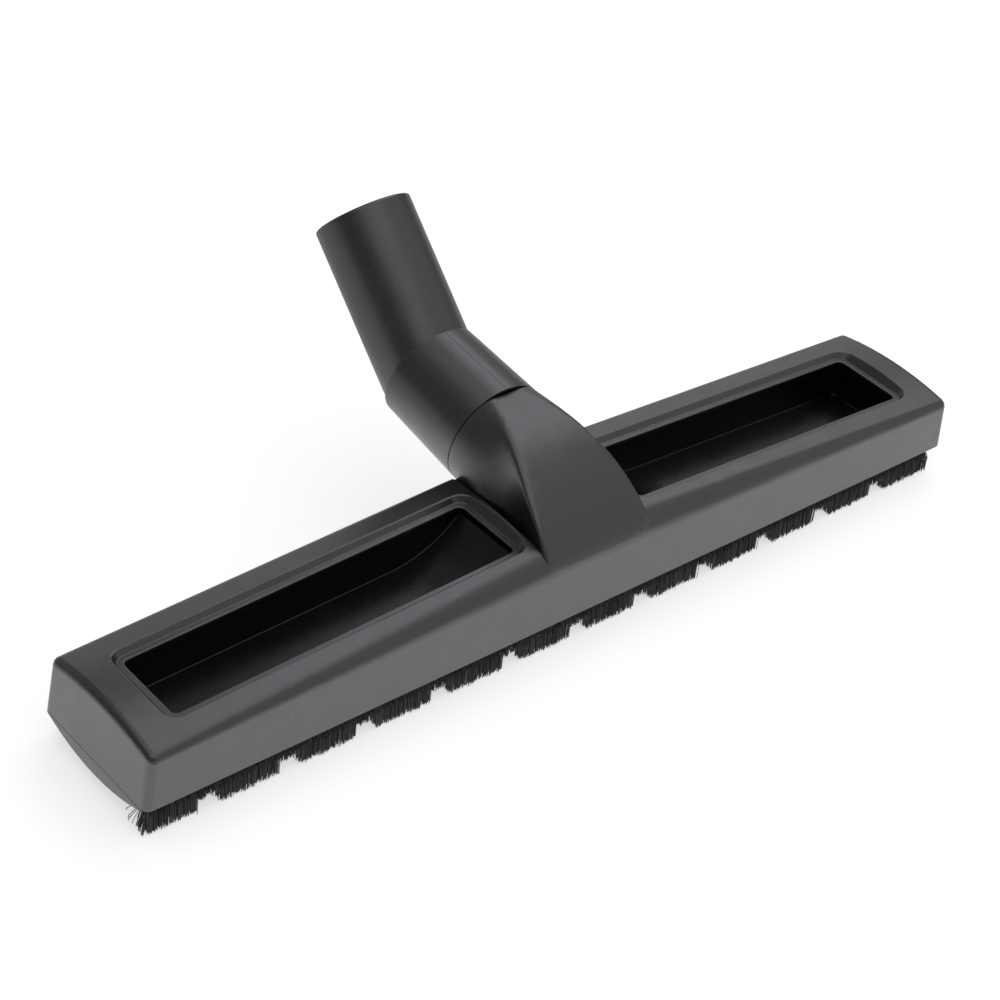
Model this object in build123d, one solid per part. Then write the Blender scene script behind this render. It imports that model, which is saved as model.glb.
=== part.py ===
from build123d import *
import os
from math import ceil, cos, radians, sin, sqrt, tan

# Head: the long moulding, measured at its lower edge
head_length = 360.0
head_depth = 56.0
brush_reach = 10.8
wall = 2.2
side_draft = 1.7
end_draft = 5.1
edge_radius = 2.8
blend_margin = 0.2

# Crowned top: highest along the middle, rising from the ends to the hood
crown_height = 23.0
crown_radius = 125.0
top_rise = 2.75
hood_blend = 9.0

# Pockets: a flat rim let into the crown, and a tub whose floor sweeps up to the hood
pocket_inner = 28.2
pocket_end_margin = 18.5
pocket_rear = 13.4
tub_clearance = 1.63
pocket_depth = 15.0
pocket_corner = 2.0
pocket_lip = 2.5
pocket_wall = 2.0
sweep_radius = 40.0
rim_height = 20.7
rim_width = 2.2
rim_corner = 3.6
rim_slope = 35.0
rim_depth = 5.0
rim_edge = 0.6
rim_foot = 0.4
mouth_edge = 0.5
floor_edge = 0.5
edge_search = 0.1

# Neck and hood
neck_y = 30.1
neck_z = 35.8
neck_tilt = 7.9
neck_radius = 20.4
neck_bore = 17.0
neck_length = 20.0
neck_flat = 18.8
neck_flat_width = 15.8
hood_toe = 22.2
toe_inset = 0.25
toe_width = 47.6
hood_foot = 24.5
hood_base = -16.0
hood_belly = 3.0
hood_hollow = 0.8
ridge_round = 2.6
hood_stations = 14

# Pull points of the ridge curve: share of the way to the toe, height over the neck axis, half width
ridge_pulls = [(0.394, 21.6, 15.3), (0.317, 15.8, 13.8), (0.700, 17.6, 24.0)]
toe_pull = 4.6

# Gaps between the hood's flanks and the crests at the inner ends of the pockets
crest_x = 23.3
crest_y = -16.0
crest_radius = 460.0
gap_front = 21.0
gap_height = 28.6
gap_fall = 3.5

# Swivel elbow
joint_gap = 0.4
running_clearance = 0.08
cup_length = 37.5
cup_end_radius = 19.4
cup_face_tilt = 4.1
cup_edge = 0.8
cup_lip = 0.9
cup_recess = 4.0
bend_angle = 34.7
tube_length = 59.6
tube_radius = 17.85
socket_bore = 16.0
socket_length = 45.0
spigot_wall = 2.0
bead_height = 0.7
bead_width = 2.6
bead_setback = 3.0
bead_clearance = 0.3
tube_edge = 1.0

# Sole plate and its fixings
sole_thickness = 2.5
sole_recess = 0.3
sole_fit = 0.2
mouth_length = 104.0
mouth_depth = 29.0
mouth_corner = 6.0
channel_height = 5.7
channel_wall = 0.9
channel_lip = 0.5
rib_thickness = 1.6
rib_pitch = 32.0
screw_radius = 1.3
screw_head_radius = 2.8
screw_head_height = 1.8
screw_bite = 4.5
screw_play = 0.2
thread_clearance = 0.05
boss_wall = 1.7
boss_end_setback = 9.0
boss_y = 13.6
boss_mid_setback = 14.0

# Rollers at the two ends of the sole
roller_radius = 9.0
roller_width = 7.0
roller_lift = 0.3
roller_gap = 0.6
roller_edge = 0.8
roller_dish = 1.2
roller_hub = 3.6
roller_tread = 2.2
axle_radius = 1.5
cheek_thickness = 2.3
cheek_root = 4.7
cheek_setback = 0.1
cheek_drop = 5.8
cheek_gap = 0.4
cheek_tip = 1.7
cheek_seat = 1.3
lug_thickness = 2.2
lug_radius = 3.6

# Brush strips: a grooved back and bristles, trimmed into long blocks with notches between
back_width = 5.0
back_fit = 0.1
groove_width = 2.8
groove_depth = 3.4
bristle_spread = 6.0
strip_setback = 2.1
block_count = 12
first_block = 16.6
notch_length = 4.8
notch_trim = 4.6
block_gap = 0.1

edge_z = brush_reach
half_length = head_length / 2
half_depth = head_depth / 2
pocket_outer = half_length - pocket_end_margin
lean = tan(radians(side_draft))
end_lean = tan(radians(end_draft))
rise = tan(radians(top_rise))
sky = edge_z + 90.0
upwards = (Align.CENTER, Align.CENTER, Align.MIN)
neck_axis = Vector(0, cos(radians(neck_tilt)), sin(radians(neck_tilt)))
neck_centre = Vector(0, neck_y, edge_z + neck_z)
neck_line = Axis(neck_centre, neck_axis)
neck_up = Vector(0, -neck_axis.Z, neck_axis.Y)
toe = Vector(0, toe_inset - half_depth + lean * hood_toe, edge_z + hood_toe) - neck_centre
hood_length = -toe.dot(neck_axis)
sole_under = edge_z + sole_recess
sole_top = sole_under + sole_thickness
channel_top = sole_under + channel_height
channel_outer = half_depth - wall - lean * (channel_top - edge_z) - sole_fit
channel_inner = channel_outer - 2 * channel_wall - 2 * back_fit - back_width
channel_mid = (channel_outer + channel_inner) / 2
pocket_front = channel_inner - pocket_wall - tub_clearance
pocket_middle = ((pocket_inner + pocket_outer) / 2, (pocket_rear - pocket_front) / 2)
sole_end = half_length - wall - end_lean * (channel_top - edge_z) - sole_fit
axle_z = roller_lift + roller_radius
roller_top = axle_z + roller_radius
roller_outer = half_length - wall - end_lean * (roller_top - edge_z) - roller_gap
roller_inner = roller_outer - roller_width
lug_outer = roller_inner - roller_gap
lug_inner = lug_outer - lug_thickness
cheek_outer = half_length - cheek_setback
cheek_inner = cheek_outer - cheek_thickness
boss_x = half_length - boss_end_setback
boss_mid_x = mouth_length / 2 + boss_mid_setback
corner_bosses = [(x, y) for x in (-boss_x, boss_x) for y in (-boss_y, boss_y)]
boss_places = corner_bosses + [(-boss_mid_x, 0), (boss_mid_x, 0)]


def both_sides(shape):
    """The shape and its mirror image across the middle of the head."""
    return [shape, mirror(shape, about=Plane.YZ)]


def box_between(low, high):
    """A box from its lowest to its highest corner."""
    size = [b - a for a, b in zip(low, high)]
    return Pos(*low) * Box(*size, align=(Align.MIN, Align.MIN, Align.MIN))


def side_profile(points):
    """A closed outline in X and Z, drawn through the whole depth of the head."""
    return extrude(Plane.XZ * make_face(Polyline(*points, close=True)), head_depth, both=True)


def crown_peak(x):
    """Height of the crown's middle line above the floor."""
    return edge_z + crown_height + (half_length - abs(x)) * rise


def front_blend(x):
    """Radius between front face and crown: small at the ends, large under the hood."""
    share = (half_length - abs(x)) / (half_length - crest_x)
    end_blend = edge_radius + blend_margin
    return end_blend + (hood_blend - end_blend) * share


def body_section(x, inset, bottom):
    """Cross-section of the long body at x, moved inwards by inset."""
    foot = half_depth - inset
    peak = crown_peak(x) - inset
    radius = crown_radius - inset
    reach = foot + lean * edge_z
    a = 1 + lean**2
    b = reach * lean + peak - radius
    c = reach**2 + (peak - radius) ** 2 - radius**2
    top = (b + sqrt(b**2 - a * c)) / a
    low_y = foot - lean * (bottom - edge_z)
    top_y = foot - lean * (top - edge_z)
    outline = Line((-low_y, bottom), (-top_y, top))
    outline += ThreePointArc((-top_y, top), (0, peak), (top_y, top))
    outline += Polyline((top_y, top), (low_y, bottom), (-low_y, bottom))
    face = make_face(outline)
    smallest = blend_margin
    front = face.vertices().sort_by_distance((-top_y, top))[0]
    face = fillet(front, max(front_blend(x) - inset, smallest))
    rear = face.vertices().sort_by_distance((top_y, top))[0]
    face = fillet(rear, max(edge_radius + blend_margin - inset, smallest))
    return Plane.YZ.offset(x) * face


def long_body(inset, bottom):
    """The long body, or the hollow inside it when inset is the wall."""
    stations = [-half_length, -crest_x, crest_x, half_length]
    sections = [body_section(x, inset, bottom) for x in stations]
    height = sky - bottom
    foot_x = half_length - inset - end_lean * (bottom - edge_z)
    top_x = foot_x - end_lean * height
    ends = [(-foot_x, bottom), (foot_x, bottom), (top_x, sky), (-top_x, sky)]
    return loft(sections, ruled=True) & side_profile(ends)


def neck_plane(distance):
    """Plane across the neck axis, that far in from the joint face."""
    return Plane(neck_centre - neck_axis * distance, x_dir=(1, 0, 0), z_dir=-neck_axis)


def smooth(share):
    """Soft step from 0 to 1."""
    share = min(max(share, 0.0), 1.0)
    return share * share * (3 - 2 * share)


def ridge_line():
    """The hood's ridge as a curve: distance from the joint face, height over the axis, half width."""
    start = Vector(0, neck_flat, neck_flat_width / 2)
    pulls = [(share * hood_length, height, half) for share, height, half in ridge_pulls]
    end = Vector(hood_length, toe.dot(neck_up), toe_width / 2)
    upright = Vector(-neck_axis.Z, neck_axis.Y)
    return Bezier(start, *pulls, end + upright * toe_pull, end)


def hood_section(distance, top, ridge, inset):
    """Cross-section of the hood: a flat-topped circle at the neck, a low wide block in front."""
    share = distance / hood_length
    foot = neck_radius + (hood_foot - neck_radius) * share - inset
    base = hood_base * share
    belly = neck_radius + (hood_belly - neck_radius) * share - inset
    chord = Vector(ridge - foot, top - base)
    reach = Vector(neck_flat_width / 2 - neck_radius, neck_flat).length / 2
    round_bulge = neck_radius - sqrt(neck_radius**2 - reach**2)
    bulge = round_bulge - (round_bulge + hood_hollow) * smooth(2 * share)
    outward = Vector(chord.Y, -chord.X).normalized()
    corner, heel = Vector(ridge, top), Vector(foot, base)
    flank = ThreePointArc(corner, heel + chord / 2 + outward * bulge, heel)
    under = ThreePointArc(heel, (0, base - belly), (-foot, base))
    points = [under @ (i / 8) for i in (4, 3, 2, 1)]
    start = ridge_round / flank.length
    brow, cheek = Vector(ridge - ridge_round, top), flank @ start
    points += [flank @ (start + (1 - start) * i / 6) for i in range(6, -1, -1)]
    points += [brow * t**2 + corner * 2 * t * (1 - t) + cheek * (1 - t) ** 2 for t in (0.25, 0.5, 0.75)]
    points += [Vector(brow.X * i / 4, top) for i in range(4, -1, -1)]
    points += [Vector(-point.X, point.Y) for point in points[-2:0:-1]]
    return neck_plane(distance) * make_face(Spline(*points, periodic=True))


def hood(start, inset):
    """The hood from a distance in from the joint face to its toe, moved inwards by inset."""
    line = ridge_line()
    first = next(i for i in range(100) if (line @ (i / 100)).X >= start) / 100
    sections = []
    for i in range(hood_stations):
        share = first + (1 - first) * i / (hood_stations - 1)
        point, slope = line @ share, line % share
        distance, top = point.X + inset * slope.Y, point.Y - inset * slope.X
        sections.append(hood_section(distance, top, point.Z - inset, inset))
    return loft(sections)


def crest_room(grow):
    """The gaps beside the hood, cut down into the crown between the crests of the pockets."""
    disc = Circle(crest_radius + grow)
    plan = Pos(crest_x - crest_radius, crest_y) * disc & Pos(crest_radius - crest_x, crest_y) * disc
    fall = tan(radians(gap_fall))
    front = edge_z + gap_height - grow + fall * (half_depth - gap_front)
    rear = front - fall * 2 * head_depth
    back = head_depth + half_depth
    outline = [(-half_depth, front), (-half_depth, sky), (back, sky), (back, rear)]
    above = extrude(Plane.YZ * make_face(Polyline(*outline, close=True)), half_length, both=True)
    return extrude(Pos(0, 0, edge_z) * plan, sky - edge_z) & above


def along_neck(radius, start, end):
    """A cylinder on the neck axis between two distances in from the joint face."""
    return neck_plane(start) * Cylinder(radius, end - start, align=upwards)


def rim_line(x, drop):
    """Height of the rim plane at x on the right side, or of a plane below it."""
    return edge_z + rim_height + (pocket_outer - x) * rise - drop / cos(radians(top_rise))


def pocket_room(grow):
    """The hollow of the right pocket, or with grow the tub around it."""
    turn = radians(top_rise)
    along = Vector(cos(turn), -sin(turn))
    normal = Vector(sin(turn), cos(turn))
    inner = Vector(pocket_inner, rim_line(pocket_inner, 0))
    across = sweep_radius - pocket_depth + pocket_lip
    centre = inner + along * sqrt(sweep_radius**2 - across**2) + normal * (sweep_radius - pocket_depth)
    radius = sweep_radius + grow
    start = centre - normal * radius
    outer = start + along * (pocket_outer - pocket_inner + radius)
    angles = (radians(35), radians(70))
    half_way, crest = [centre - normal * radius * cos(t) - along * radius * sin(t) for t in angles]
    floor = Line(outer, start) + ThreePointArc(start, half_way, crest)
    floor += Polyline(crest, (crest.X, sky), (outer.X, sky), outer)
    above_floor = extrude(Plane.XZ * make_face(floor), head_depth, both=True)
    length, width = pocket_outer - pocket_inner + 2 * grow, pocket_rear + pocket_front + 2 * grow
    plan = Pos(*pocket_middle, edge_z) * RectangleRounded(length, width, pocket_corner + grow)
    return extrude(plan, sky - edge_z) & above_floor


def rim_room(grow):
    """The shallow recess around the right pocket: the flat rim as its floor, and sloping walls."""
    turn = radians(top_rise)
    margin = 2 * (rim_width + grow)
    length = (pocket_outer - pocket_inner + margin) / cos(turn)
    width = pocket_rear + pocket_front + margin
    centre = (*pocket_middle, rim_line(pocket_middle[0], grow))
    floor = Plane(centre, x_dir=(cos(turn), 0, -sin(turn)), z_dir=(sin(turn), 0, cos(turn)))
    plan = RectangleRounded(length, width, rim_corner + grow)
    return extrude(floor * plan, rim_depth + grow, taper=-rim_slope)


def off_outline(point, margin, corner):
    """Distance in plan from a point to the nearer pocket's outline, grown by margin."""
    middle_x, middle_y = pocket_middle
    half = Vector((pocket_outer - pocket_inner) / 2, (pocket_rear + pocket_front) / 2)
    past_x = abs(abs(point.X) - middle_x) - half.X - margin + corner
    past_y = abs(point.Y - middle_y) - half.Y - margin + corner
    if past_x > 0 and past_y > 0:
        return abs(sqrt(past_x**2 + past_y**2) - corner)
    return abs(max(past_x, past_y) - corner)


def outline_edges(body, margin, corner, lowest, highest):
    """Edges that run along the pockets' grown outlines, between two heights above the rim plane."""
    found = []
    for edge in body.edges():
        middle = edge @ 0.5
        size = edge.bounding_box().size
        height = middle.Z - rim_line(abs(middle.X), 0)
        level_run = max(size.X, size.Y) > edge_search
        if level_run and lowest < height < highest and off_outline(middle, margin, corner) < edge_search:
            found.append(edge)
    return found


def stiffening_ribs():
    """Ribs between the outer walls and the pocket tubs, resting on the brush channels."""
    count = ceil((pocket_outer - pocket_inner) / rib_pitch)
    step = (pocket_outer - pocket_inner) / count
    ribs = []
    for i in range(count + 1):
        x = pocket_inner + step * i
        for side in (-1, 1):
            near, far = sorted((side * pocket_rear, side * half_depth))
            rib = box_between((x - rib_thickness / 2, near, channel_top), (x + rib_thickness / 2, far, sky))
            ribs += both_sides(rib)
    return ribs


def make_housing():
    """The one-piece moulding: long body, hood and neck, pockets, and the hollow under them."""
    outer = long_body(0, edge_z)
    ends = outer.faces().sort_by(Axis.X)
    end_edges = ends[0].edges() + ends[-1].edges()
    outer = fillet(end_edges.filter_by(lambda e: e.center().Z > edge_z + blend_margin), edge_radius)
    crown = outer - crest_room(0)
    recesses = both_sides(rim_room(0))
    outer = crown - recesses
    outer = fillet(new_edges(crown, *recesses, combined=outer), rim_edge)
    outer = fillet(outline_edges(outer, rim_width, rim_corner, -edge_search, edge_search), rim_foot)
    outer = outer + hood(0, 0)
    outer = outer - both_sides(pocket_room(0))
    outer = fillet(outline_edges(outer, 0, pocket_corner, -edge_search, edge_search), mouth_edge)
    outer = fillet(outline_edges(outer, 0, pocket_corner, -sky, -pocket_lip / 2), floor_edge)
    kept = both_sides(pocket_room(pocket_wall)) + both_sides(rim_room(pocket_wall))
    kept += stiffening_ribs()
    kept.append(along_neck(neck_bore + wall, 0, neck_length))
    for x, y in boss_places:
        boss = Cylinder(screw_radius + boss_wall, sky, align=upwards)
        kept.append(Pos(x, y, sole_top) * boss)
    hollow = long_body(wall, edge_z - wall) - crest_room(wall) + hood(neck_length - wall, wall)
    hollow = hollow - kept
    shell = outer - hollow
    groove_start = neck_length - bead_setback - bead_width - bead_clearance
    groove_end = neck_length - bead_setback + bead_clearance
    shell = shell - along_neck(neck_bore, -wall, neck_length + wall)
    shell = shell - along_neck(neck_bore + bead_height + running_clearance, groove_start, groove_end)
    for x, y in boss_places:
        pilot = Cylinder(screw_radius + thread_clearance, screw_bite, align=upwards)
        shell = shell - Pos(x, y, sole_top) * pilot
    return shell


def make_elbow():
    """The elbow: a spigot that snaps into the neck, a wide cup and a socket tube at an angle."""
    turn = radians(neck_tilt + bend_angle)
    tube_axis = Vector(0, cos(turn), sin(turn))
    face_turn = radians(neck_tilt + cup_face_tilt)
    face_axis = Vector(0, cos(face_turn), sin(face_turn))
    cup_start = neck_centre + neck_axis * joint_gap
    bend = neck_centre + neck_axis * cup_length
    mouth = bend + tube_axis * tube_length
    full = cup_length - joint_gap
    spare = neck_radius * tan(radians(cup_face_tilt))
    taper = (neck_radius - cup_end_radius) / full
    cone = Cone(neck_radius, cup_end_radius - taper * spare, full + spare, align=upwards)
    cup = Plane(cup_start, x_dir=(1, 0, 0), z_dir=neck_axis) * cone
    cup = split(cup, bisect_by=Plane(bend, x_dir=(1, 0, 0), z_dir=face_axis), keep=Keep.BOTTOM)
    cup = fillet(cup.faces().sort_by(neck_line)[-1].edges(), cup_edge)
    at_bend = Plane(bend, x_dir=(1, 0, 0), z_dir=tube_axis)
    tube = at_bend * Cylinder(tube_radius, tube_length, align=upwards)
    tube = fillet(tube.faces().sort_by_distance(mouth)[0].edges(), tube_edge)
    elbow = cup + tube + Pos(bend) * Sphere(tube_radius)
    spigot = neck_bore - running_clearance
    elbow = elbow - along_neck(neck_radius - cup_lip, -cup_recess, joint_gap)
    elbow = elbow + along_neck(spigot, -cup_recess, neck_length)
    bead_end = neck_length - bead_setback
    bead = along_neck(spigot + bead_height, bead_end - bead_width, bead_end)
    bead = chamfer(bead.edges().filter_by(GeomType.CIRCLE), bead_height - running_clearance)
    elbow = elbow + bead
    passage = spigot - spigot_wall
    elbow = elbow - along_neck(passage, -cup_length, neck_length + wall)
    elbow = elbow - Pos(bend) * Sphere(passage)
    elbow = elbow - at_bend * Cylinder(passage, tube_length, align=upwards)
    return elbow - Plane(mouth, x_dir=(1, 0, 0), z_dir=tube_axis) * Cylinder(socket_bore, 2 * socket_length)


def make_sole():
    """The sole plate: brush channels, suction mouth, roller wells and the curved end cheeks."""
    sole = box_between((-sole_end, -channel_outer, sole_under), (sole_end, channel_outer, sole_top))
    slot = back_width / 2 - channel_lip
    room = back_width / 2 + back_fit
    for side in (-1, 1):
        near, far = sorted((side * channel_inner, side * channel_outer))
        middle = side * channel_mid
        sole += box_between((-sole_end, near, sole_under), (sole_end, far, channel_top))
        low, high = sole_under + channel_wall, channel_top - channel_wall
        sole -= box_between((-half_length, middle - room, low), (half_length, middle + room, high))
        sole -= box_between((-half_length, middle - slot, edge_z), (half_length, middle + slot, low))
    mouth = RectangleRounded(mouth_length, mouth_depth, mouth_corner)
    sole -= Pos(0, 0, edge_z) * extrude(mouth, channel_height)
    for x, y in boss_places:
        sole -= Pos(x, y, sole_top) * Cylinder(screw_radius + screw_play, 2 * channel_height)
    sole = sole + both_sides(roller_mounting())
    return sole - both_sides(roller_well()) - both_sides(make_axle())


def roller_mounting():
    """Right end of the sole below the plate: the curved cheek, its root and the inner axle lug."""
    tip = half_depth - cheek_tip
    top = edge_z - cheek_gap
    outline = ThreePointArc((-tip, top), (0, edge_z - cheek_drop), (tip, top)) + Line((tip, top), (-tip, top))
    cheek = extrude(Plane.YZ.offset(cheek_outer - cheek_root) * make_face(outline), cheek_root)
    root_low = (cheek_outer - cheek_root, -channel_inner, top - cheek_gap)
    root = box_between(root_low, (sole_end, channel_inner, sole_top))
    lug = along_axle(lug_radius, lug_inner, lug_outer)
    lug += box_between((lug_inner, -lug_radius, axle_z), (lug_outer, lug_radius, sole_top))
    return cheek + root + lug


def roller_well():
    """Room for the right roller: through the plate and into the back of the cheek."""
    half = roller_radius + roller_gap
    return box_between((lug_outer, -half, 0), (cheek_inner, half, roller_top))


def along_axle(radius, start, end):
    """A cylinder on the right roller's axis."""
    round_bar = Cylinder(radius, end - start, align=upwards)
    return Plane.YZ.offset(start) * Pos(0, axle_z) * round_bar


def make_axle():
    """Steel pin of the right roller, from the lug into a blind hole in the cheek."""
    return along_axle(axle_radius, lug_inner, cheek_inner + cheek_seat)


def make_roller():
    """The right roller: bevelled tread and dished sides round a plain hub."""
    roller = along_axle(roller_radius, roller_inner, roller_outer)
    roller = chamfer(roller.edges().filter_by(GeomType.CIRCLE), roller_edge)
    for start in (roller_inner, roller_outer - roller_dish):
        dish = along_axle(roller_radius - roller_tread, start, start + roller_dish)
        roller -= dish - along_axle(roller_hub, start, start + roller_dish)
    return roller - along_axle(axle_radius + running_clearance, roller_inner, roller_outer)


def make_screws():
    """Six pan-head screws through the sole into the housing's bosses."""
    head = Cylinder(screw_head_radius, screw_head_height, align=(Align.CENTER, Align.CENTER, Align.MAX))
    head = chamfer(head.edges().sort_by(Axis.Z)[0], screw_head_height / 2)
    length = sole_thickness + screw_bite - thread_clearance
    shank = Cylinder(screw_radius, length, align=upwards)
    return [Pos(x, y, sole_under) * (head + shank) for x, y in boss_places]


def make_back():
    """Moulded back of the front brush strip, grooved for the roots of the tufts."""
    width = back_width / 2
    step = back_width / 2 - channel_lip - back_fit
    low, high = sole_under + channel_wall + back_fit, channel_top - channel_wall - back_fit
    reach = sole_end - back_fit
    back = box_between((-reach, -width, low), (reach, width, high))
    back += box_between((-reach, -step, sole_under), (reach, step, low))
    half = groove_width / 2
    back -= box_between((-half_length, -half, sole_under), (half_length, half, sole_under + groove_depth))
    return Pos(0, -channel_mid) * back


def bristle_block(start, end, tip):
    """Bristles from x = start to end: a root that fills the groove, spreading towards the tip."""
    share = (sole_under - tip) / sole_under
    length = end - start - block_gap
    root = Rectangle(length, groove_width)
    spread = Rectangle(length, groove_width + (bristle_spread - groove_width) * share)
    levels = [(sole_under + groove_depth, root), (sole_under, root), (tip, spread)]
    block = loft([Pos(0, 0, z) * face for z, face in levels], ruled=True)
    return Pos((start + end) / 2, -channel_mid) * block


def make_bristles():
    """Bristles of the front strip: the long blocks, and the short ones in the notches."""
    strip_end = sole_end - strip_setback
    block_length = (2 * strip_end - first_block) / (block_count - 1) - notch_length
    end = first_block - strip_end
    long_blocks, short_blocks = [bristle_block(-strip_end, end, 0)], []
    for number in range(1, block_count):
        start = end + notch_length
        short_blocks.append(bristle_block(end, start, notch_trim))
        end = start + block_length
        long_blocks.append(bristle_block(start, end, 0))
    return long_blocks, short_blocks


def mouth_reach():
    """How far back the rounded rim of the elbow's mouth reaches."""
    turn = radians(neck_tilt + bend_angle)
    centre = neck_centre.Y + cup_length * neck_axis.Y + (tube_length - tube_edge) * cos(turn)
    return centre + (tube_radius - tube_edge) * sin(turn) + tube_edge


# The origin is on the floor, under the middle of the whole part
to_origin = Pos(0, (half_depth - mouth_reach()) / 2)
end_for_end = Rot(0, 0, 180)
os.makedirs("parts", exist_ok=True)


def save(name, shapes):
    """Writes one piece, or a group of like pieces, as one file."""
    solids = [solid for shape in shapes for solid in (to_origin * shape).solids()]
    export_step(Compound(solids) if len(solids) > 1 else solids[0], f"parts/{name}.step")


save("head_housing", [make_housing()])
save("swivel_elbow", [make_elbow()])
save("sole_plate", [make_sole()])
save("sole_screws", make_screws())
for side, axle, roller in zip(("right", "left"), both_sides(make_axle()), both_sides(make_roller())):
    save(f"{side}_roller_axle", [axle])
    save(f"{side}_roller", [roller])
back = make_back()
long_blocks, short_blocks = make_bristles()
for side, turn in (("front", Pos(0, 0)), ("rear", end_for_end)):
    save(f"{side}_brush_back", [turn * back])
    save(f"{side}_short_bristles", [turn * block for block in short_blocks])
    for number, block in enumerate(long_blocks, 1):
        save(f"{side}_bristles_{number:02d}", [turn * block])
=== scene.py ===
import math
import random
import bpy
from mathutils import Matrix, Vector


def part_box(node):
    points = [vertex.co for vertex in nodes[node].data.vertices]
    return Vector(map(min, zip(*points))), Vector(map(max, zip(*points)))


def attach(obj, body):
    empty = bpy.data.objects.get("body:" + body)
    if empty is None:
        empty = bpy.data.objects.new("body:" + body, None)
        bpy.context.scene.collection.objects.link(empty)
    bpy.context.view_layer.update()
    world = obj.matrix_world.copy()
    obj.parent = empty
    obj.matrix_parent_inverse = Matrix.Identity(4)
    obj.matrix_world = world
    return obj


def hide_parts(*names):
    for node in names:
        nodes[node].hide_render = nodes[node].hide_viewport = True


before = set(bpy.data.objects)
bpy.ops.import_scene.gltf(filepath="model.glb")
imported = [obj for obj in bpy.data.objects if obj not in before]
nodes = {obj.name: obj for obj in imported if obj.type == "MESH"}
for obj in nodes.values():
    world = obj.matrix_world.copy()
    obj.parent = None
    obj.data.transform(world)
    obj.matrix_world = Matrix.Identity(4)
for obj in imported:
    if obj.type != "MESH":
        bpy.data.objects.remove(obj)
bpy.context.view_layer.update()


# Head housing: the long crowned shell with its two pockets, hood and neck.
# One injection moulding in black plastic with a fine satin grain; the elbow snaps into its
# neck and the sole plate closes it from below.
def moulded_plastic(name, tone, roughness, grain, seam=0.0, dust=1.0):
    """Black moulded plastic with a satin grain, a faint cloudy sheen and a few specks of dust.

    A seam above 0 raises the line that the two halves of the mould leave at x = 0.
    """
    material = bpy.data.materials.new(name)
    material.use_nodes = True
    tree = material.node_tree
    shader = tree.nodes["Principled BSDF"]
    place = tree.nodes.new("ShaderNodeTexCoord")

    def noise(scale, detail, rough=0.5):
        texture = tree.nodes.new("ShaderNodeTexNoise")
        texture.inputs["Scale"].default_value = scale
        texture.inputs["Detail"].default_value = detail
        texture.inputs["Roughness"].default_value = rough
        tree.links.new(place.outputs["Object"], texture.inputs["Vector"])
        return texture.outputs["Fac"]

    def ramp(value, low, high, first, last):
        spread = tree.nodes.new("ShaderNodeMapRange")
        spread.inputs["From Min"].default_value = low
        spread.inputs["From Max"].default_value = high
        spread.inputs["To Min"].default_value = first
        spread.inputs["To Max"].default_value = last
        tree.links.new(value, spread.inputs["Value"])
        return spread.outputs["Result"]

    def cloudy(scale, first, last, detail=2.0):
        # noise keeps near its middle, so only that stretch is used
        noise_low, noise_high = 0.3, 0.7
        return ramp(noise(scale, detail), noise_low, noise_high, first, last)

    def maths(kind, first, second):
        node = tree.nodes.new("ShaderNodeMath")
        node.operation = kind
        for socket, value in zip(node.inputs, (first, second)):
            if isinstance(value, float):
                socket.default_value = value
            else:
                tree.links.new(value, socket)
        return node.outputs["Value"]

    # Colour: a slow drift of the tone, with specks of dust on a few of the cells
    drift_scale = 60.0
    darker, lighter = 0.9, 1.12
    cell_scale = 95.0
    speck_core, speck_edge = 0.02, 0.034
    clean_cell, dusty_cell = 0.45, 0.95
    dust_cover = 0.7
    dust_tone = (0.55, 0.55, 0.54, 1)
    colour = tree.nodes.new("ShaderNodeMix")
    colour.data_type = "RGBA"
    colour.inputs["A"].default_value = (*[darker * c for c in tone], 1)
    colour.inputs["B"].default_value = (*[lighter * c for c in tone], 1)
    tree.links.new(cloudy(drift_scale, 0.0, 1.0, detail=3.0), colour.inputs["Factor"])
    cells = tree.nodes.new("ShaderNodeTexVoronoi")
    cells.inputs["Scale"].default_value = cell_scale
    tree.links.new(place.outputs["Object"], cells.inputs["Vector"])
    tint = tree.nodes.new("ShaderNodeSeparateColor")
    tree.links.new(cells.outputs["Color"], tint.inputs["Color"])
    near = ramp(cells.outputs["Distance"], speck_core, speck_edge, 1.0, 0.0)
    chosen = ramp(tint.outputs["Red"], clean_cell, dusty_cell, 0.0, dust_cover * dust)
    dusty = tree.nodes.new("ShaderNodeMix")
    dusty.data_type = "RGBA"
    dusty.inputs["B"].default_value = dust_tone
    tree.links.new(maths("MULTIPLY", near, chosen), dusty.inputs["Factor"])
    tree.links.new(colour.outputs["Result"], dusty.inputs["A"])
    tree.links.new(dusty.outputs["Result"], shader.inputs["Base Color"])

    # Sheen: the satin varies a little over a centimetre and grain by grain
    cloud_scale, grain_scale = 130.0, 2600.0
    cloud_change, grain_change = 0.03, 0.04
    cloud = cloudy(cloud_scale, roughness - cloud_change, roughness + cloud_change)
    fleck = cloudy(grain_scale, -grain_change, grain_change)
    tree.links.new(maths("ADD", cloud, fleck), shader.inputs["Roughness"])
    shader.inputs["IOR"].default_value = 1.6
    shader.inputs["Specular IOR Level"].default_value = 1.0

    # Relief: spark-eroded grain, and the seam that the two halves of the mould leave
    grain_depth = 0.00006
    seam_half = 0.00025
    height = noise(grain_scale, 3.0, rough=0.6)
    if seam:
        along = tree.nodes.new("ShaderNodeSeparateXYZ")
        tree.links.new(place.outputs["Object"], along.inputs["Vector"])
        across = maths("ABSOLUTE", along.outputs["X"], 0.0)
        height = maths("ADD", height, ramp(across, 0.0, seam_half, seam, 0.0))
    bump = tree.nodes.new("ShaderNodeBump")
    bump.inputs["Strength"].default_value = grain
    bump.inputs["Distance"].default_value = grain_depth
    tree.links.new(height, bump.inputs["Height"])
    tree.links.new(bump.outputs["Normal"], shader.inputs["Normal"])
    return material


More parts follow.
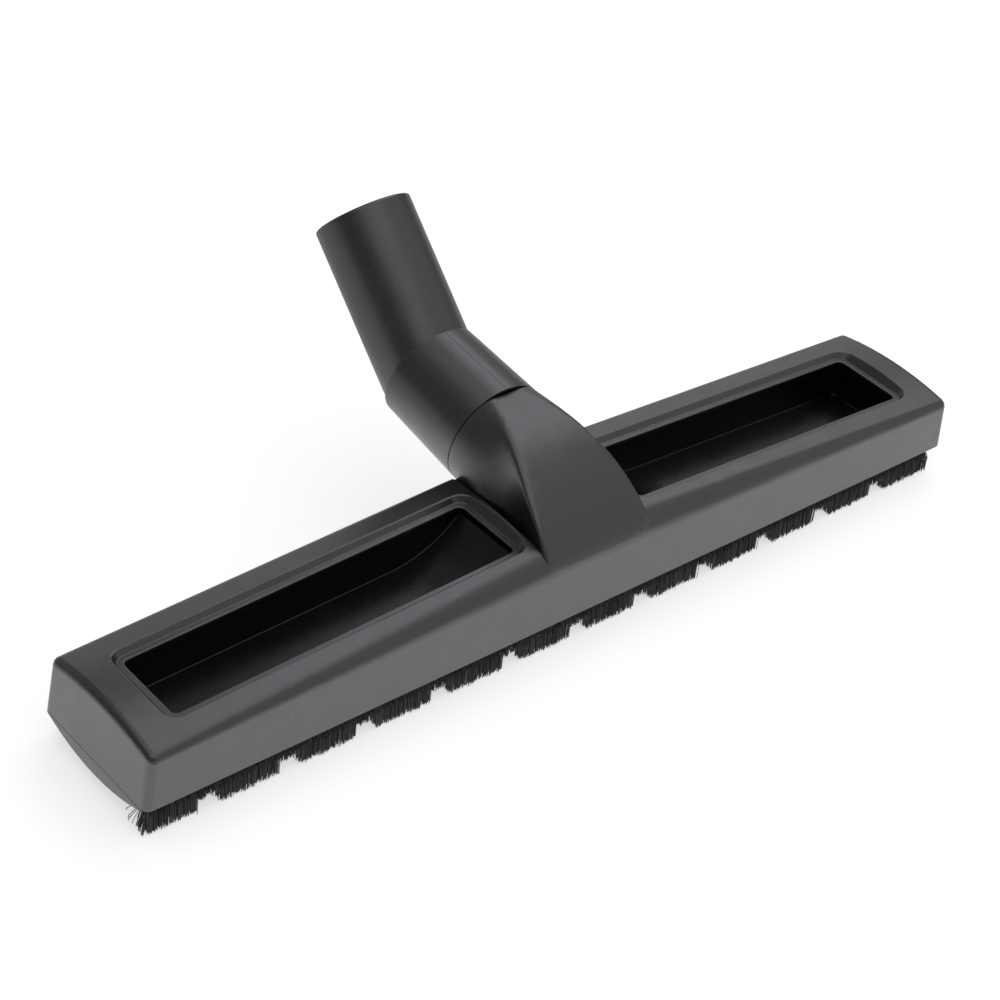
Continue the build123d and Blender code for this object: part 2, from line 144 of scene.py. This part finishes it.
def dress(node, material):
    """Gives a CAD node its finish."""
    nodes[node].data.materials.clear()
    nodes[node].data.materials.append(material)


housing_tone = (0.0025, 0.0025, 0.0028)
housing_black = moulded_plastic("housing_black", housing_tone, roughness=0.33, grain=0.35)

# Inside the pockets the moulding is a little smoother, and a grey specular tint there is painted shade
# that dims their reflections, so that they stay darker than the outside; the satin starts at the
# sloping rim
pocket_middle = (0.09485, 0.0481)
pocket_half = (0.0667, 0.0142)
pocket_edge = 0.0004
pocket_smoother = 0.05
pocket_painted_shade = (0.3, 0.3, 0.31, 1)
rim_height = 0.0315
rim_fall = 0.04803
rim_top, rim_foot = 0.0004, 0.002
tree = housing_black.node_tree
shader = tree.nodes["Principled BSDF"]
place = tree.nodes.new("ShaderNodeTexCoord")
spot = tree.nodes.new("ShaderNodeSeparateXYZ")
tree.links.new(place.outputs["Object"], spot.inputs["Vector"])


def pocket_math(kind, *values):
    """One sum on the housing's own coordinates."""
    node = tree.nodes.new("ShaderNodeMath")
    node.operation = kind
    for socket, value in zip(node.inputs, values):
        if isinstance(value, float):
            socket.default_value = value
        else:
            tree.links.new(value, socket)
    return node.outputs["Value"]


def pocket_range(value, first, last):
    """0 at the first value and 1 at the last."""
    node = tree.nodes.new("ShaderNodeMapRange")
    node.inputs["From Min"].default_value = first
    node.inputs["From Max"].default_value = last
    tree.links.new(value, node.inputs["Value"])
    return node.outputs["Result"]


rim_at_middle = rim_height + rim_fall * (pocket_middle[0] + pocket_half[0])
rim = pocket_math("MULTIPLY_ADD", pocket_math("ABSOLUTE", spot.outputs["X"]), -rim_fall, rim_at_middle)
inside = pocket_range(pocket_math("SUBTRACT", rim, spot.outputs["Z"]), rim_top, rim_foot)
for axis, middle, half in zip("XY", pocket_middle, pocket_half):
    distance = pocket_math("SUBTRACT", pocket_math("ABSOLUTE", spot.outputs[axis]), middle)
    within = pocket_range(pocket_math("ABSOLUTE", distance), half + pocket_edge, half)
    inside = pocket_math("MULTIPLY", inside, within)
satin = shader.inputs["Roughness"].links[0].from_socket
smoother = pocket_math("MULTIPLY_ADD", inside, -pocket_smoother, satin)
tree.links.new(smoother, shader.inputs["Roughness"])
# Painted shade: the specular tint turns grey inside the pockets, so that these recesses reflect less
# and look darker
pocket_shade_tint = tree.nodes.new("ShaderNodeMix")
pocket_shade_tint.data_type = "RGBA"
pocket_shade_tint.inputs["A"].default_value = (1, 1, 1, 1)
pocket_shade_tint.inputs["B"].default_value = pocket_painted_shade
tree.links.new(inside, pocket_shade_tint.inputs["Factor"])
tree.links.new(pocket_shade_tint.outputs["Result"], shader.inputs["Specular Tint"])
dress("head_housing", housing_black)

# Swivel elbow: a wide cup that turns on the neck, and the socket tube for the wand.
# One moulding in the same black plastic, with the faint seam of its two mould halves
# running along the top.
elbow_black = moulded_plastic("elbow_black", housing_tone, roughness=0.33, grain=0.3, seam=3.0)
dress("swivel_elbow", elbow_black)

# Sole plate: the flat underside with the brush channels, suction mouth and roller cheeks.
# Moulded in plainer black plastic and screwed to bosses inside the housing.
plain_tone = (0.007, 0.007, 0.0075)
sole_black = moulded_plastic("sole_black", plain_tone, roughness=0.36, grain=0.5)
dress("sole_plate", sole_black)

# Rollers: two small wheels that carry the ends of the sole.
# Turned smooth in hard black plastic, each loose on its steel pin.
roller_tone = (0.008, 0.008, 0.0085)
roller_black = moulded_plastic("roller_black", roller_tone, roughness=0.3, grain=0.25)
dress("left_roller", roller_black)
dress("right_roller", roller_black)


# Screws and roller pins: the pan-head screws of the sole and two plain pins.
# Zinc-plated steel with a dull, slightly uneven plating; the screws go up into the housing's
# bosses and the pins sit in the cheeks of the sole.
def plated_steel(name):
    """Dull zinc-plated steel, cloudy in tone and sheen."""
    cloud_scale = 700.0
    dark_zinc, dark_share = (0.36, 0.36, 0.35, 1), 0.3
    pale_zinc, pale_share = (0.56, 0.56, 0.55, 1), 0.7
    bright_sheen, dull_sheen = 0.28, 0.5
    material = bpy.data.materials.new(name)
    material.use_nodes = True
    tree = material.node_tree
    shader = tree.nodes["Principled BSDF"]
    shader.inputs["Metallic"].default_value = 1.0
    place = tree.nodes.new("ShaderNodeTexCoord")
    cloud = tree.nodes.new("ShaderNodeTexNoise")
    cloud.inputs["Scale"].default_value = cloud_scale
    cloud.inputs["Detail"].default_value = 4.0
    tree.links.new(place.outputs["Object"], cloud.inputs["Vector"])
    tone = tree.nodes.new("ShaderNodeValToRGB")
    tone.color_ramp.elements[0].position = dark_share
    tone.color_ramp.elements[0].color = dark_zinc
    tone.color_ramp.elements[1].position = pale_share
    tone.color_ramp.elements[1].color = pale_zinc
    tree.links.new(cloud.outputs["Fac"], tone.inputs["Fac"])
    tree.links.new(tone.outputs["Color"], shader.inputs["Base Color"])
    sheen = tree.nodes.new("ShaderNodeMapRange")
    sheen.inputs["To Min"].default_value = bright_sheen
    sheen.inputs["To Max"].default_value = dull_sheen
    tree.links.new(cloud.outputs["Fac"], sheen.inputs["Value"])
    tree.links.new(sheen.outputs["Result"], shader.inputs["Roughness"])
    return material


steel = plated_steel("zinc_steel")
for node in ("sole_screws", "left_roller_axle", "right_roller_axle"):
    dress(node, steel)

# Brush backs: two grooved strips that slide into the channels of the sole.
# Extruded in black plastic; the tufts are clenched in the groove.
back_black = moulded_plastic("back_black", plain_tone, roughness=0.45, grain=0.5, dust=0.0)
dress("front_brush_back", back_black)
dress("rear_brush_back", back_black)


# Bristles: black nylon filaments about a quarter of a millimetre thick, clenched in the groove
# of the backs. They stand in long blocks with notches trimmed short between them, lean outwards
# below the groove and then hang straight, and splay at the free end of the strip.
def bristle_nylon():
    """Black nylon, slightly glossy, with a tone that changes from strand to strand."""
    strand_scale = 1800.0
    along_strand = 0.03
    dark_nylon, dark_share = (0.005, 0.005, 0.005, 1), 0.38
    pale_nylon, pale_share = (0.07, 0.068, 0.068, 1), 0.66
    material = bpy.data.materials.new("bristle_black")
    material.use_nodes = True
    tree = material.node_tree
    shader = tree.nodes["Principled BSDF"]
    shader.inputs["Roughness"].default_value = 0.42
    place = tree.nodes.new("ShaderNodeTexCoord")
    flat = tree.nodes.new("ShaderNodeMapping")
    flat.inputs["Scale"].default_value = (1.0, 1.0, along_strand)
    tree.links.new(place.outputs["Object"], flat.inputs["Vector"])
    strand = tree.nodes.new("ShaderNodeTexNoise")
    strand.inputs["Scale"].default_value = strand_scale
    strand.inputs["Detail"].default_value = 2.0
    tree.links.new(flat.outputs["Vector"], strand.inputs["Vector"])
    tone = tree.nodes.new("ShaderNodeValToRGB")
    tone.color_ramp.elements[0].position = dark_share
    tone.color_ramp.elements[0].color = dark_nylon
    tone.color_ramp.elements[1].position = pale_share
    tone.color_ramp.elements[1].color = pale_nylon
    tree.links.new(strand.outputs["Fac"], tone.inputs["Fac"])
    tree.links.new(tone.outputs["Color"], shader.inputs["Base Color"])
    return material


nylon = bristle_nylon()
filament_radius = 0.00014
row_pitch = 0.00031
place_jitter = 0.4
groove_half = 0.0013
groove_depth = 0.0034
lean_depth = 0.0045
strand_bends = (0.0, 0.04, 0.5, 0.96, 1.0)

# A tuft's filaments sway and are cut together; a few strays sway further
tuft_pitch = 0.0016
tuft_pull = 0.1
tuft_sway_x, tuft_sway_y = 0.0001, 0.0002
tuft_short = 0.00025
stray_share, stray_sway = 0.04, 2.5

# The tips: how wide they spread, how far they lean outwards, and how ragged they are
tip_half = 0.0016
tip_lean = 0.0036
tip_limit = 0.0058
tip_sway_x, tip_sway_y, tip_ragged = 0.00016, 0.00025, 0.0002
splay_length = 0.006
splay_reach = 0.003

# Loose bristles past an end of the strip root close together and lean all the way down
fan_root = 0.1
fan_crowding = 0.7
fan_tip_low, fan_tip_high = 0.0002, 0.0016
fan_hang = 0.001


def grow_bristles(node, spans, seed, outward, fans=(), trims=(), free_end=None):
    """Filaments over each span of x, from the root in the groove to the tip.

    Fans are loose bristles past an end of the strip, trims are stretches that are cut short, and
    the bristles splay at the strip's free end.
    """
    chance = random.Random(seed)
    low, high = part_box(node)
    middle = (low.y + high.y) / 2
    curve = bpy.data.curves.new(node + "_filaments", "CURVE")
    curve.dimensions = "3D"
    curve.bevel_depth = filament_radius
    curve.bevel_resolution = 0
    curve.use_fill_caps = True

    def strand(root, tip, lean_end):
        spline = curve.splines.new("POLY")
        spline.points.add(len(strand_bends) - 1)
        mouth = root.z - groove_depth
        heights = (root.z, mouth, mouth - 0.5 * lean_end, mouth - lean_end, tip.z)
        for knot, height, bend in zip(spline.points, heights, strand_bends):
            sideways = root + (tip - root) * bend
            knot.co = (sideways.x, sideways.y, height, 1)

    for start, end in spans:
        columns = round((end - start) / row_pitch)
        rows = round(2 * groove_half / row_pitch)
        tufts = {}
        for column in range(columns):
            for row in range(rows):
                step = column + 0.5 + chance.uniform(-place_jitter, place_jitter)
                x = start + (end - start) * step / columns
                share = (row + 0.5 + chance.uniform(-place_jitter, place_jitter)) / rows * 2 - 1
                tuft = int(x / tuft_pitch)
                if tuft not in tufts:
                    sway_x = chance.gauss(0, tuft_sway_x)
                    sway_y = chance.gauss(0, tuft_sway_y)
                    tufts[tuft] = (sway_x, sway_y, chance.uniform(0, tuft_short))
                sway_x, sway_y, short = tufts[tuft]
                pull = ((tuft + 0.5) * tuft_pitch - x) * tuft_pull
                wild = stray_sway if chance.random() < stray_share else 1.0
                tip_x = x + pull + sway_x + wild * chance.gauss(0, tip_sway_x)
                if free_end is not None:
                    tip_x += outward * splay_reach * max(0.0, 1 - abs(x - free_end) / splay_length)
                across = share * tip_half + sway_y + wild * chance.gauss(0, tip_sway_y)
                tip_y = middle + outward * min(outward * across + tip_lean, tip_limit)
                cut = max((height for first, last, height in trims if first < x < last), default=0.0)
                tip_z = low.z + cut + filament_radius + short + abs(chance.gauss(0, tip_ragged))
                root = Vector((x, middle + share * groove_half, high.z))
                strand(root, Vector((tip_x, tip_y, tip_z)), lean_depth)
    for end, count, (near, far), (inner, outer) in fans:
        for _ in range(count):
            root_x = end + chance.uniform(0, fan_root) * (near - far)
            root_y = middle + chance.uniform(-1, 1) * groove_half
            root = Vector((root_x, root_y, high.z))
            tip_x = end + near + (far - near) * chance.random() ** fan_crowding
            tip_y = middle + outward * chance.uniform(inner, outer)
            tip_z = low.z + chance.uniform(fan_tip_low, fan_tip_high)
            strand(root, Vector((tip_x, tip_y, tip_z)), root.z - groove_depth - tip_z - fan_hang)
    piece = bpy.data.objects.new(node + "_filaments", curve)
    bpy.context.scene.collection.objects.link(piece)
    bpy.ops.object.select_all(action="DESELECT")
    piece.select_set(True)
    bpy.context.view_layer.objects.active = piece
    bpy.ops.object.convert(target="MESH")
    piece = bpy.context.view_layer.objects.active
    piece.data.materials.clear()
    piece.data.materials.append(nylon)
    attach(piece, "head")
    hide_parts(node)


# Each strip starts at its free end, where loose bristles fan out; the rear one is the same strip
# turned round. A fan is a count, the reach of its tips past the end, and their reach outwards.
block_count = 12
start_trim = 0.0014
end_trim = 0.0016
free_end_fans = ((34, (0.0015, 0.0048), (0.0, 0.0056)), (5, (0.0012, 0.0048), (-0.0065, -0.001)))
far_end_fan = (9, (0.001, -0.003), (-0.001, 0.0048))
for side, outward, long_seed, short_seed in (("front", -1, 500, 905), ("rear", 1, 400, 904)):
    blocks = [f"{side}_bristles_{number:02d}" for number in range(1, block_count + 1)]
    spans = [(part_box(block)[0].x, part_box(block)[1].x) for block in blocks]
    notch_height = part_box(f"{side}_short_bristles")[0].z
    for number, (block, span) in enumerate(zip(blocks, spans)):
        first, last = span if outward < 0 else span[::-1]
        fans = []
        trims = []
        if number == 0:
            for count, past_end, sideways in free_end_fans:
                fans.append((first, count, [reach * outward for reach in past_end], sideways))
        else:
            trims.append((*sorted((first, first - start_trim * outward)), notch_height))
        if number < block_count - 1:
            trims.append((*sorted((last, last + end_trim * outward)), notch_height))
        elif side == "front":
            count, past_end, sideways = far_end_fan
            fans.append((last, count, [reach * outward for reach in past_end], sideways))
        free_end = first if number == 0 else None
        grow_bristles(block, [span], long_seed + number, outward, fans, trims, free_end)
    spans.sort()
    notches = [(left[1], right[0]) for left, right in zip(spans, spans[1:])]
    grow_bristles(f"{side}_short_bristles", notches, short_seed, outward)

# Floor: a plain sheet of white paper that keeps the soft shadow. It looks evenly white to the camera,
# and in the plastic's reflections it carries a painted pool of glow, bright close to the head and dim
# further off.
floor_size = 8.0
floor_height = -0.0001
paper_tone = (0.8, 0.8, 0.8, 1)
paper_glow = 0.6
pool_middle = (0, 0.0474, 0)
pool_stretch = (0.3, 1, 1)
pool_inner, pool_outer = 0.085, 0.15
pool_bright, pool_dim = 1.2, 0.2
bpy.ops.object.select_all(action="DESELECT")
bpy.ops.mesh.primitive_grid_add(
    x_subdivisions=2, y_subdivisions=2, size=floor_size, location=(0, 0, floor_height)
)
floor = bpy.context.object
floor.name = "white_floor"
paper = bpy.data.materials.new("white_paper")
paper.use_nodes = True
tree = paper.node_tree
shader = tree.nodes["Principled BSDF"]
shader.inputs["Base Color"].default_value = paper_tone
shader.inputs["Roughness"].default_value = 0.9
shader.inputs["Specular IOR Level"].default_value = 0.0
place = tree.nodes.new("ShaderNodeTexCoord")
along_head = tree.nodes.new("ShaderNodeMapping")
along_head.inputs["Location"].default_value = pool_middle
along_head.inputs["Scale"].default_value = pool_stretch
tree.links.new(place.outputs["Object"], along_head.inputs["Vector"])
distance = tree.nodes.new("ShaderNodeVectorMath")
distance.operation = "LENGTH"
tree.links.new(along_head.outputs["Vector"], distance.inputs[0])
# Painted reflection: a pool of glow that only mirrored rays see, bright near the head and dim further
# off
painted_pool = tree.nodes.new("ShaderNodeMapRange")
painted_pool.inputs["From Min"].default_value = pool_inner
painted_pool.inputs["From Max"].default_value = pool_outer
painted_pool.inputs["To Min"].default_value = pool_bright
painted_pool.inputs["To Max"].default_value = pool_dim
tree.links.new(distance.outputs["Value"], painted_pool.inputs["Value"])
path = tree.nodes.new("ShaderNodeLightPath")
mirrored = tree.nodes.new("ShaderNodeMath")
mirrored.operation = "MAXIMUM"
tree.links.new(path.outputs["Is Glossy Ray"], mirrored.inputs[0])
tree.links.new(path.outputs["Is Transmission Ray"], mirrored.inputs[1])
pooled = tree.nodes.new("ShaderNodeMath")
pooled.operation = "MULTIPLY"
tree.links.new(mirrored.outputs["Value"], pooled.inputs[0])
tree.links.new(painted_pool.outputs["Result"], pooled.inputs[1])
seen = tree.nodes.new("ShaderNodeMath")
seen.operation = "MAXIMUM"
tree.links.new(path.outputs["Is Camera Ray"], seen.inputs[0])
tree.links.new(pooled.outputs["Value"], seen.inputs[1])
lift = tree.nodes.new("ShaderNodeMath")
lift.operation = "MULTIPLY"
lift.inputs[1].default_value = paper_glow
tree.links.new(seen.outputs["Value"], lift.inputs[0])
glow = tree.nodes.new("ShaderNodeEmission")
tree.links.new(lift.outputs["Value"], glow.inputs["Strength"])
both = tree.nodes.new("ShaderNodeAddShader")
tree.links.new(shader.outputs["BSDF"], both.inputs[0])
tree.links.new(glow.outputs["Emission"], both.inputs[1])
tree.links.new(both.outputs["Shader"], tree.nodes["Material Output"].inputs["Surface"])
floor.data.materials.append(paper)

# Light: a dim studio with two large cool softboxes, one high on the right and one overhead, two
# pale cards behind and a wide one at the front right. The camera sees a white backdrop, and the
# plastic reflects the studio. A card is where it stands, its inner and outer angle, and its tone.
studio_tone = (0.17, 0.17, 0.173, 1)
backdrop_tone = (1, 1, 1, 1)
cards = (
    ((0.5, 0.8, 0.22), 8.0, 32.0, (0.55, 0.55, 0.56)),
    ((-0.25, 0.95, 0.2), 10.0, 35.0, (0.2, 0.2, 0.2)),
    ((0.57, -0.6, 0.45), 15.0, 60.0, (0.36, 0.36, 0.36)),
)
world = bpy.data.worlds.new("studio")
bpy.context.scene.world = world
world.use_nodes = True
tree = world.node_tree
place = tree.nodes.new("ShaderNodeTexCoord")
total = tree.nodes.new("ShaderNodeRGB").outputs["Color"]
total.default_value = studio_tone
for towards, inner_angle, outer_angle, card_tone in cards:
    facing = tree.nodes.new("ShaderNodeVectorMath")
    facing.operation = "DOT_PRODUCT"
    facing.inputs[1].default_value = Vector(towards).normalized()
    tree.links.new(place.outputs["Generated"], facing.inputs[0])
    edge = tree.nodes.new("ShaderNodeMapRange")
    edge.interpolation_type = "SMOOTHSTEP"
    edge.inputs["From Min"].default_value = math.cos(math.radians(outer_angle))
    edge.inputs["From Max"].default_value = math.cos(math.radians(inner_angle))
    tree.links.new(facing.outputs["Value"], edge.inputs["Value"])
    glow = tree.nodes.new("ShaderNodeVectorMath")
    glow.operation = "MULTIPLY_ADD"
    glow.inputs[1].default_value = card_tone
    tree.links.new(edge.outputs["Result"], glow.inputs[0])
    tree.links.new(total, glow.inputs[2])
    total = glow.outputs["Vector"]
path = tree.nodes.new("ShaderNodeLightPath")
seen = tree.nodes.new("ShaderNodeMath")
seen.operation = "MAXIMUM"
tree.links.new(path.outputs["Is Camera Ray"], seen.inputs[0])
tree.links.new(path.outputs["Is Transmission Ray"], seen.inputs[1])
backdrop = tree.nodes.new("ShaderNodeMix")
backdrop.data_type = "RGBA"
backdrop.inputs["B"].default_value = backdrop_tone
tree.links.new(seen.outputs["Value"], backdrop.inputs["Factor"])
tree.links.new(total, backdrop.inputs["A"])
tree.links.new(backdrop.outputs["Result"], tree.nodes["Background"].inputs["Color"])

# A softbox is where it stands from the head, how far away, its side in metres and its watts
softboxes = (
    ("right_softbox", (0.57, 0.3, 0.78), 1.8, 1.3, 6.0),
    ("top_softbox", (-0.2, -0.12, 1.0), 1.6, 2.1, 9.0),
)
softbox_tone = (0.9, 0.95, 1.0)
aim = Vector((-0.0146, -0.0392, 0.03))
for name, towards, away, size, power in softboxes:
    lamp = bpy.data.lights.new(name, "AREA")
    lamp.shape = "SQUARE"
    lamp.size = size
    lamp.energy = power
    lamp.color = softbox_tone
    softbox = bpy.data.objects.new(name, lamp)
    bpy.context.scene.collection.objects.link(softbox)
    softbox.location = aim + Vector(towards) * away
    softbox.rotation_euler = (aim - softbox.location).to_track_quat("-Z", "Y").to_euler()

# Camera: the photograph's own place, half left of the front and well above it.
azimuth, elevation, roll = (math.radians(angle) for angle in (-45.23, 36.52, 8.27))
target = Vector((-0.01457, -0.03853, 0.0378))
camera_distance = 0.80527
level = math.cos(elevation)
back = Vector((math.sin(azimuth) * level, -math.cos(azimuth) * level, math.sin(elevation)))
right = Vector((math.cos(azimuth), math.sin(azimuth), 0))
up = back.cross(right)
across = right * math.cos(roll) + up * math.sin(roll)
above = up * math.cos(roll) - right * math.sin(roll)
turn = Matrix((across, above, back)).transposed().to_4x4()
lens = bpy.data.cameras.new("camera")
lens.lens = 86.1
lens.sensor_width = 36.0
camera = bpy.data.objects.new("camera", lens)
bpy.context.scene.collection.objects.link(camera)
camera.matrix_world = Matrix.Translation(target + back * camera_distance) @ turn
bpy.context.scene.camera = camera
bpy.context.scene.view_settings.view_transform = "Standard"
